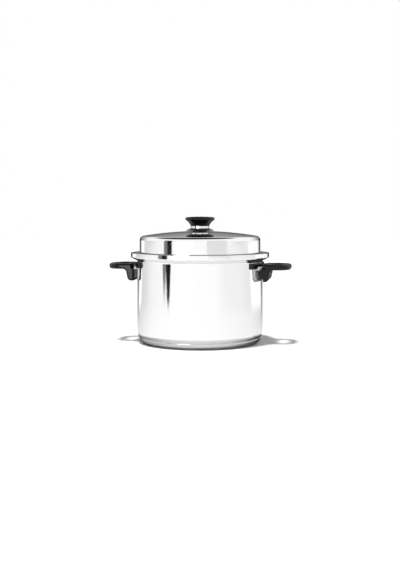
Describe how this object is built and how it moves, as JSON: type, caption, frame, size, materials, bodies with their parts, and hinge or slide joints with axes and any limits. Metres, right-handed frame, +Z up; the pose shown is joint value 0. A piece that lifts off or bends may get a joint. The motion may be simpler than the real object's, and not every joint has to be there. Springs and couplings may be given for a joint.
{
  "type": "covered stockpot",
  "caption": "Deep round stockpot with bonded base, flared moat rim, two loop side handles and a lift-off high dome cover whose turning knob opens a steam vent.",
  "frame": {"origin": "centre of the base's resting face", "axes": "+Z up along the pot's axis, +X through the right-hand handle, +Y towards the back"},
  "size_m": [0.359, 0.272, 0.2464],
  "materials": {
    "polished_stainless": "mirror-polished stainless steel",
    "bracket_stainless": "satin-polished stainless steel",
    "screw_steel": "plain turned stainless steel",
    "vent_steel": "satin stainless steel",
    "aluminium_core": "bonded between steel sheets, hidden",
    "brass": "turned, moulded in",
    "silicone": "smooth heat-resistant silicone",
    "black_phenolic": "compression-moulded phenolic, semi-gloss"
  },
  "bodies": {
    "pot": {"pot_shell": "polished_stainless", "base_core": "aluminium_core", "base_cap": "polished_stainless", "handle_bracket_right": "bracket_stainless", "handle_bracket_left": "bracket_stainless", "handle_grip_right": "black_phenolic", "handle_grip_left": "black_phenolic", "handle_bosses": "bracket_stainless", "handle_screws": "screw_steel", "handle_lock_washers": "screw_steel"},
    "cover": {"cover_shell": "polished_stainless", "foot_gasket": "silicone", "vent_foot": "vent_steel"},
    "knob": {"knob_skirt": "black_phenolic", "knob_band": "bracket_stainless", "knob_top": "black_phenolic", "knob_insert": "brass", "knob_screw": "screw_steel", "wave_washer": "screw_steel", "vent_shutter": "vent_steel"}
  },
  "joints": [
    {"name": "cover_lift", "type": "slide", "parent": "pot", "child": "cover", "axis": [0, 0, 1], "range_m": [0, 0.16]},
    {"name": "knob_turn", "type": "hinge", "parent": "cover", "child": "knob", "pos_m": [0, 0, 0.23], "axis": [0, 0, 1], "range_deg": [0, 90]}
  ]
}
